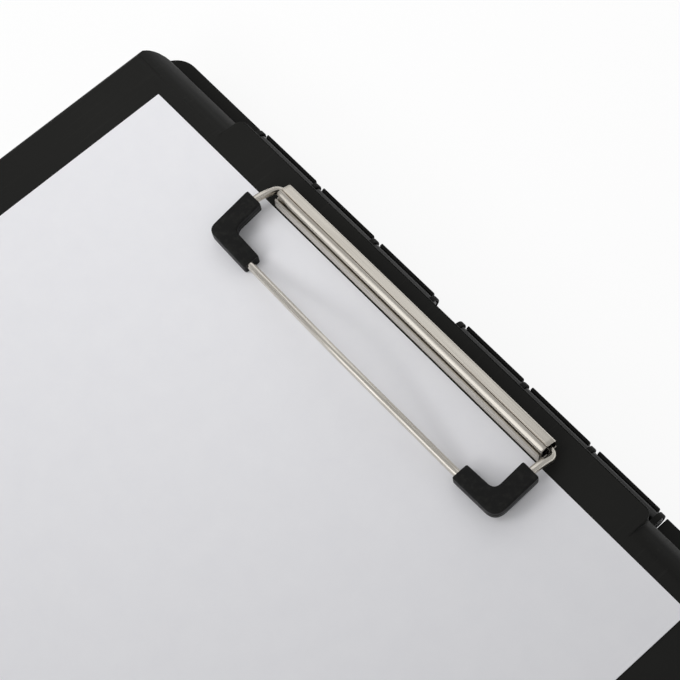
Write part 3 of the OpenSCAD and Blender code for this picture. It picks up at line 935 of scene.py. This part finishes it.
    def rivet(self, side: Side) -> SurfaceMesh:
        """A rivet: domed head in the tube, shank through the lid, clinched tail below."""
        low, high = box_mm("clip_rivets")
        face, edge = self.rivet_tail
        head = self.rivet_dome[-1][1]
        tail = arc(((high[1] - low[1]) / 2 - edge, low[2] + edge), edge, 270, 360, 5)
        shank = [[self.rivet_radius, low[2] + head], [self.rivet_radius, high[2] - head]]
        dome = np.array(self.rivet_dome) + [0, high[2] - head]
        profile = np.concatenate([[[face, low[2]]], tail, shank, dome])
        return lathe(profile, (side.value * self.rivet_pitch / 2, self.rivet_y, 0), "Z")

    def washer_ring(self, side: Side) -> SurfaceMesh:
        """A washer with a filed rim: its profile is a rounded bar turned around the rivet."""
        low, high = box_mm("rivet_washers")
        outer, inner = self.washer_radius, self.rivet_radius + self.washer_gap
        edge = self.washer_edge
        profile = np.array([
            [inner, low[2] + edge], [inner + edge, low[2]], [outer - edge, low[2]],
            [outer, low[2] + edge], [outer, high[2] - edge], [outer - edge, high[2]],
            [inner + edge, high[2]], [inner, high[2] - edge]])
        place = (side.value * self.rivet_pitch / 2, self.rivet_y, 0)
        return lathe(profile, place, "Z", 64, ring=True)


# ---- bail


@dataclass
class Bail:
    """The sprung wire bail with its two moulded grips.

    wire_tip and end_round belong to the formulas of wire and grip. end_steps holds where the
    grip's rings stand on its straight ends, as shares. The mouth of a grip is three rings, and
    mouth_steps, mouth_rise and mouth_size hold how deep, how high and how wide they are.
    """

    wire_radius: float = 1.15
    arm_gap: float = 2.2
    reach: float = 21.35
    stub_start: float = 26.0
    hump_reach: float = 7.4
    hump_rise: float = 4.25
    corner_rise: float = 2.2
    bend_leg: float = 3.8
    stub_leg_share: float = 0.7
    bar_rise: float = 6.3
    bar_lean: float = 1.7
    bar_round: float = 8.0
    dip_leg: float = 2.5
    wire_sides: int = 28
    wire_tip: Pair = (0.5, 0.2)
    grip_side_width: float = 5.8
    grip_front_width: float = 5.2
    grip_thickness: float = 3.8
    grip_corner: float = 0.6
    grip_inset: float = 0.6
    grip_drop: float = 0.3
    grip_gap: float = 0.15
    grip_rear: float = 8.4
    grip_front: float = 13.0
    grip_inner_bend: float = 2.5
    grip_outer_bend: float = 4.0
    left_tuck: float = 0.75
    parting_height: float = 0.03
    parting_share: float = 0.06
    flat_share: float = 0.4
    end_steps: tuple[float, ...] = (0.0, 0.03, 0.08, 0.2, 0.5, 1.0)
    end_round: Pair = (0.45, 0.07)
    mouth_depth: float = 0.3
    mouth_steps: Triple = (0.0, 0.4, 1.0)
    mouth_rise: Triple = (0.2, 0.6, 1.0)
    mouth_size: Pair = (0.8, 0.62)
    mouth_over_wire: float = 1.3

    def __post_init__(self) -> None:
        """Works out the bail's knees from the hinge, the tube's end and the paper's top."""
        self.axle = bail_axle()
        self.arm_x = box_mm("clip_tube")[1][0] + self.arm_gap
        self.bar_y = self.axle[1] - self.reach
        self.corner_z = self.axle[2] + self.corner_rise
        self.bar_end_x = self.arm_x - self.grip_front
        self.bar_end_z = (box_mm("paper_sheets")[1][2] + self.grip_gap + self.grip_thickness / 2
                          + self.grip_drop)
        self.knees = self.axle[1:] + np.array([
            [0, 0], [-self.hump_reach, self.hump_rise], [-self.reach, self.corner_rise]])

    def build(self) -> None:
        """Builds and dresses the wire and the grips."""
        dress(self.wire(), Body.BAIL, WIRE_NICKEL, "bail_wire")
        for side in Side:
            dress(self.grip(side), Body.BAIL, GRIP_VINYL, f"{side.name.lower()}_grip")

    def bar(self, x: np.ndarray | float) -> np.ndarray:
        """The peaked front bar: a rounded tent that rises and leans ahead towards the middle.

        With n(x) = sqrt(x^2 + round^2), its share of the peak at x is
        (n(end) - n(x)) / (n(end) - round).

        Args:
            x: one place or several along the bar.

        Returns:
            A point for each place.
        """
        foot = np.hypot(self.bar_end_x, self.bar_round)
        share = (foot - np.hypot(x, self.bar_round)) / (foot - self.bar_round)
        return np.stack([x + 0 * share, self.bar_y - self.bar_lean * share,
                         self.bar_end_z + self.bar_rise * share], axis=-1)

    def route(self) -> np.ndarray:
        """The wire's middle line, from its right stub around the front to its left stub.

        Returns:
            points x 3.
        """
        stub = np.array([0.0, *self.knees[0]])
        axle_end, hump, corner = (np.array([self.arm_x, *knee]) for knee in self.knees)
        mouth = self.bar(self.bar_end_x)
        first = bend(stub, axle_end, hump, self.stub_leg_share * self.bend_leg, 24)
        second = bend(axle_end, hump, corner, self.bend_leg, 24)
        third = bend(hump, corner, mouth, self.bend_leg, 24)
        dip = bend(corner, mouth, self.bar(self.bar_end_x - self.dip_leg), self.dip_leg, 10)
        stub_run = np.linspace([self.stub_start, *stub[1:]], first[0], 12)[:-1]
        side_run = np.linspace(second[-1], third[0], 8)[1:-1]
        rise_run = np.linspace(first[-1], second[0], 5)[1:-1]
        front_run = np.linspace(third[-1], dip[0], 8)[1:-1]
        arm = np.concatenate([stub_run, first, rise_run, second, side_run, third, front_run, dip])
        bar = self.bar(np.linspace(dip[-1, 0], -dip[-1, 0], 90)[1:-1])
        return np.concatenate([arm, bar, (arm * [-1, 1, 1])[::-1]])

    def wire(self) -> bpy.types.Object:
        """Carries a circle along the route, and rounds its two ends.

        Within wire_tip[0] of an end, at a distance d, the radius is multiplied by
        sqrt(1 - (1 - d/wire_tip[0])^2), with d/wire_tip[0] at least wire_tip[1].

        Returns:
            The wire, whose map runs along and around it.
        """
        route = self.route()
        tangent = unit(np.gradient(route, axis=0))
        across = unit(np.cross(tangent, [0, 0, 1]))
        upward = np.cross(across, tangent)
        run, from_end = distances(route)
        near = np.clip(from_end / self.wire_tip[0], self.wire_tip[1], 1)
        radius = self.wire_radius * np.sqrt(1 - (1 - near) ** 2)
        angle = np.linspace(0, 2 * np.pi, self.wire_sides, endpoint=False)[:, None]
        circle = np.cos(angle) * across[:, None] + np.sin(angle) * upward[:, None]
        around = np.linspace(0, 2 * np.pi * self.wire_radius * MM, self.wire_sides + 1)
        surface = SurfaceMesh()
        surface.add_tube(route[:, None] + radius[:, None, None] * circle, run * MM, around)
        return surface.to_object("bail_drawn_wire", WIRE_MAP)

    def grip_edge(self, out: float, ahead: float, leg: float, tuck: float = 0.0) -> np.ndarray:
        """One edge of the right grip: along the arm, around the corner and along the bar.

        Args:
            out: how far the edge lies outside the arm's middle.
            ahead: how far it lies ahead of the bar's middle.
            leg: the length of its bend.
            tuck: how far its corner is drawn in towards the bail's middle.

        Returns:
            points x 3.
        """
        z = self.corner_z - self.grip_drop
        y = self.bar_y + self.grip_inset - ahead
        tail_y = self.axle[1] - self.grip_rear
        slope = (self.hump_rise - self.corner_rise) / (self.reach - self.hump_reach)
        tail_z = z + slope * (tail_y - self.bar_y - self.grip_inset)
        tail = np.array([self.arm_x + out, tail_y, tail_z])
        knee = np.array([self.arm_x + out - tuck, y, z])
        end = np.array([self.bar_end_x, y, self.bar_end_z - self.grip_drop])
        turn = bend(tail, knee, end, leg, 28)
        near = np.array(self.end_steps)[:, None]
        rear = tail + near * (turn[0] - tail)
        front = turn[-1] + (1 - near[::-1]) * (end - turn[-1])
        return np.concatenate([rear[:-1], turn, front[1:]])

    def grip_section(self) -> np.ndarray:
        """A rounded rectangle as shares of the half width and half thickness, with a parting line.

        The line is a low ridge in the middle of both sides, where the mould's halves met.

        Returns:
            points x 2, as (share of half width, share of half thickness).
        """
        share = np.array([self.grip_corner / (self.grip_side_width / 2),
                          self.grip_corner / (self.grip_thickness / 2)])
        ridge = self.parting_height / (self.grip_side_width / 2)
        flat, line = self.flat_share, self.parting_share
        side = np.array([[1, -flat], [1, -line], [1 + ridge, 0], [1, line], [1, flat]])
        corner = arc((0, 0), 1, 0, 90, 7) * share + (1 - share)
        top = np.array([[flat, 1], [0, 1], [-flat, 1]])
        half = np.concatenate([side, corner, top, (corner * [-1, 1])[::-1]])
        return np.concatenate([half, -half])

    def grip(self, side: Side) -> bpy.types.Object:
        """Carries the section from the outer to the inner edge, and dishes both ends.

        At a distance d from an end, under end_round[0], the section is smaller by
        end_round[1] (1 - d/end_round[0])^2. Then smaller rings are pushed into the grip, so that
        the wire comes out of a shallow mouth.

        Returns:
            The grip.
        """
        tuck = self.left_tuck if side is Side.LEFT else 0.0
        outer = self.grip_edge(self.grip_side_width / 2, self.grip_front_width / 2,
                               self.grip_outer_bend - 2 * tuck, tuck)
        inner = self.grip_edge(-self.grip_side_width / 2, -self.grip_front_width / 2,
                               self.grip_inner_bend)
        middle, half = (outer + inner) / 2, (outer - inner) / 2
        from_end = distances(middle)[1]
        reach, draw = self.end_round
        size = 1 - draw * (1 - np.clip(from_end / reach, 0, 1)) ** 2
        section = self.grip_section()[None]
        up = np.array([0, 0, self.grip_thickness / 2])

        def rings(at: np.ndarray, spread: np.ndarray, share: np.ndarray) -> np.ndarray:
            """The rings of points at these middles and half widths, times these shares."""
            flat = section[..., :1] * spread[:, None] + section[..., 1:] * up
            return at[:, None] + share[:, None, None] * flat

        tangent = unit(np.gradient(middle, axis=0))
        wire_share = self.mouth_over_wire * self.wire_radius / (self.grip_side_width / 2)
        share = np.array([*self.mouth_size, wire_share])
        steps = np.array(self.mouth_steps)[:, None] * self.mouth_depth
        rise = np.array(self.mouth_rise)[:, None] * [0, 0, self.grip_drop]
        first, last = (rings(middle[end] + rise + inward * steps * tangent[end],
                             np.tile(half[end], (3, 1)), share)
                       for end, inward in ((0, 1), (-1, -1)))
        grid = np.concatenate([first[::-1], rings(middle, half, size), last])
        surface = SurfaceMesh()
        surface.add_tube(grid * [side.value, 1, 1])
        return surface.to_object(f"{side.name.lower()}_moulded_grip")


# ---- paper


@dataclass
class PaperStack:
    """A few loose sheets under the bail, each lying a little off the one below."""

    sheets: int = 3
    slip: float = 0.12
    lift: float = 0.28
    middle_lift: float = 0.25
    inset: float = 0.02
    skins: Pair = (0.92, 0.04)
    rows: int = 90
    cols: int = 64

    def build(self) -> None:
        """Builds and dresses each sheet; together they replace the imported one."""
        low, high = box_mm("paper_sheets")
        step = (high[2] - low[2]) / self.sheets
        for number in range(self.sheets):
            dress(self.sheet(number, low, high, step), Body.LID, PAPER, "paper_sheets")

    def sheet(self, number: int, low: np.ndarray, high: np.ndarray,
              step: float) -> bpy.types.Object:
        """One sheet, as a closed slab that lifts towards the latch, most at its corners.

        It rises by lift (number + 1) / sheets far^2 (m + (1 - m) (x / half width)^2), where far
        is the share of the way from the clip, and m is middle_lift. skins holds the heights of
        its upper and lower face, as shares of step.

        Args:
            number: its place in the stack, from 0 at the bottom.
            low: the stack's lowest corner.
            high: the stack's highest corner.
            step: one sheet's share of the stack's height.

        Returns:
            The sheet.
        """
        slip = self.slip * np.array([(-1) ** number, -1 + number / max(self.sheets - 1, 1)])
        edge = self.slip + self.inset
        x = np.linspace(low[0] + edge, high[0] - edge, self.cols) + slip[0]
        y = np.linspace(high[1] - self.inset, low[1] + edge, self.rows) + slip[1] / 2
        across, along = np.meshgrid(x, y)
        far = np.clip((high[1] - along) / (high[1] - low[1]), 0, 1)
        shape = self.middle_lift + (1 - self.middle_lift) * (across / high[0]) ** 2
        rise = self.lift * (number + 1) / self.sheets * far ** 2 * shape
        surface = SurfaceMesh()
        upper, lower = (
            surface.add_grid(np.stack([across, along, low[2] + (number + skin) * step + rise], -1))
            for skin in self.skins)
        for take in (lambda g: g[0], lambda g: g[-1], lambda g: g[:, 0], lambda g: g[:, -1]):
            surface.add_strip(take(upper), take(lower))
        return surface.to_object(f"paper_sheet_{number + 1}")


# ---- studio


@dataclass(frozen=True)
class Lamp:
    """A square soft box: its place, where it points, its side, its power and how far it spreads.

    One that isn't in gloss is flagged off, so that only matt surfaces take its light.
    """

    name: str
    place: Triple
    aim: Triple
    size: float
    watts: float
    spread: float = 180.0
    in_gloss: bool = True


@dataclass
class Studio:
    """Camera, lamps, world and floor. None of it is part of the object."""

    place: Triple = (0.170, 0.0391, 0.4354)
    azimuth: float = 62.1
    elevation: float = 63.68
    roll: float = -14.37
    focal_share: float = 1718.46 / 680
    lamps: tuple[Lamp, ...] = (
        Lamp("front_softbox", (-0.20, -0.58, 0.54), (0.0, 0.14, 0.03), 0.70, 1.5),
        Lamp("rear_softbox", (-0.44, 0.69, 0.58), (0.0, 0.14, 0.03), 0.68, 0.75),
        Lamp("left_gridded_softbox", (-0.26, -0.04, 0.52), (-0.12, 0.21, 0.03), 0.38, 0.13, 50,
             in_gloss=False),
        Lamp("low_gridded_softbox", (-0.08, -0.38, 0.58), (-0.30, 0.44, 0.03), 0.50, 0.30, 32,
             in_gloss=False))
    fill_level: float = 0.47
    near_clip: float = 0.01
    floor_half: float = 4.0
    floor_colour: str = "#f4f4f4"
    floor_rough: float = 0.9
    backdrop_share: float = 0.9

    def build(self) -> None:
        """Sets up everything around the object."""
        self.camera()
        for lamp in self.lamps:
            self.light(lamp)
        self.world()
        self.floor()
        bpy.context.scene.view_settings.view_transform = "Standard"

    def camera(self) -> None:
        """Places the camera from its azimuth, elevation and roll."""
        turn, tilt, lean = (math.radians(v) for v in (self.azimuth, self.elevation, self.roll))
        forward = np.array([-math.sin(turn) * math.cos(tilt), math.cos(turn) * math.cos(tilt),
                            -math.sin(tilt)])
        level = unit(np.cross(forward, [0, 0, 1]))
        upright = np.cross(level, forward)
        right = math.cos(lean) * level + math.sin(lean) * upright
        up = -math.sin(lean) * level + math.cos(lean) * upright
        data = bpy.data.cameras.new("studio_camera")
        data.sensor_fit = "HORIZONTAL"
        data.lens = data.sensor_width * self.focal_share
        data.clip_start = self.near_clip
        camera = placed("studio_camera", data)
        turned = Matrix((right, up, -forward)).transposed().to_4x4()
        camera.matrix_world = Matrix.Translation(self.place) @ turned
        bpy.context.scene.camera = camera

    def light(self, lamp: Lamp) -> None:
        """Adds a soft box."""
        data = bpy.data.lights.new(lamp.name, "AREA")
        data.size = lamp.size
        data.energy = lamp.watts
        data.spread = math.radians(lamp.spread)
        made = placed(lamp.name, data)
        made.location = lamp.place
        made.visible_glossy = lamp.in_gloss
        away = Vector(lamp.aim) - made.location
        made.rotation_euler = away.to_track_quat("-Z", "Y").to_euler()

    def world(self) -> None:
        """A plain dim fill from all sides."""
        world = bpy.data.worlds.new("studio_world")
        bpy.context.scene.world = world
        world.use_nodes = True
        background = world.node_tree.nodes["Background"]
        background.inputs["Color"].default_value = (1.0, 1.0, 1.0, 1.0)
        background.inputs["Strength"].default_value = self.fill_level

    def floor(self) -> None:
        """A wide pale card that the camera, gloss and glass see as white with a soft shadow."""
        corners = ((-1, -1, 0), (1, -1, 0), (1, 1, 0), (-1, 1, 0))
        mesh = bpy.data.meshes.new("studio_floor")
        mesh.from_pydata((np.array(corners) * self.floor_half).tolist(), [], [(0, 1, 2, 3)])
        floor = placed("studio_floor", mesh)
        material = bpy.data.materials.new("white_card")
        material.use_nodes = True
        tree = material.node_tree
        shader, output = tree.nodes["Principled BSDF"], tree.nodes["Material Output"]
        shader.inputs["Base Color"].default_value = srgb(self.floor_colour)
        shader.inputs["Roughness"].default_value = self.floor_rough
        rays = add_node(tree, "LightPath")
        glow = add_node(tree, "Emission", {"Color": (1.0, 1.0, 1.0, 1.0), "Strength": 1.0})
        share = rays.outputs["Is Camera Ray"]
        for other in ("Is Glossy Ray", "Is Transmission Ray"):
            share = add_node(tree, "Math", (share, rays.outputs[other]), operation="MAXIMUM")
        share = add_node(tree, "Math", (share, self.backdrop_share), operation="MULTIPLY")
        mix = add_node(tree, "MixShader", (share, shader, glow))
        tree.links.new(mix.outputs[0], output.inputs["Surface"])
        mesh.materials.append(material)


def main() -> None:
    """Builds the studio and every sub-assembly in order."""
    logging.basicConfig(level=logging.INFO, format="%(message)s")
    Studio().build()
    MouldedPart("base_tray", "base_tray_moulded", Body.BASE).build()
    MouldedPart("lid", "lid_moulded", Body.LID).build()
    for side in Side:
        HingeRod(side).build()
    ClipFitting().build()
    Bail().build()
    PaperStack().build()
    MouldedPart("latch_slide", "latch_slide_moulded", Body.LATCH, GRIP_VINYL,
                edge_round=0.15).build()
    MouldedPart("latch_retainer", "latch_retainer_moulded", Body.LATCH, ROD_ABS,
                edge_round=0.15).build()


if __name__ == "__main__":
    main()
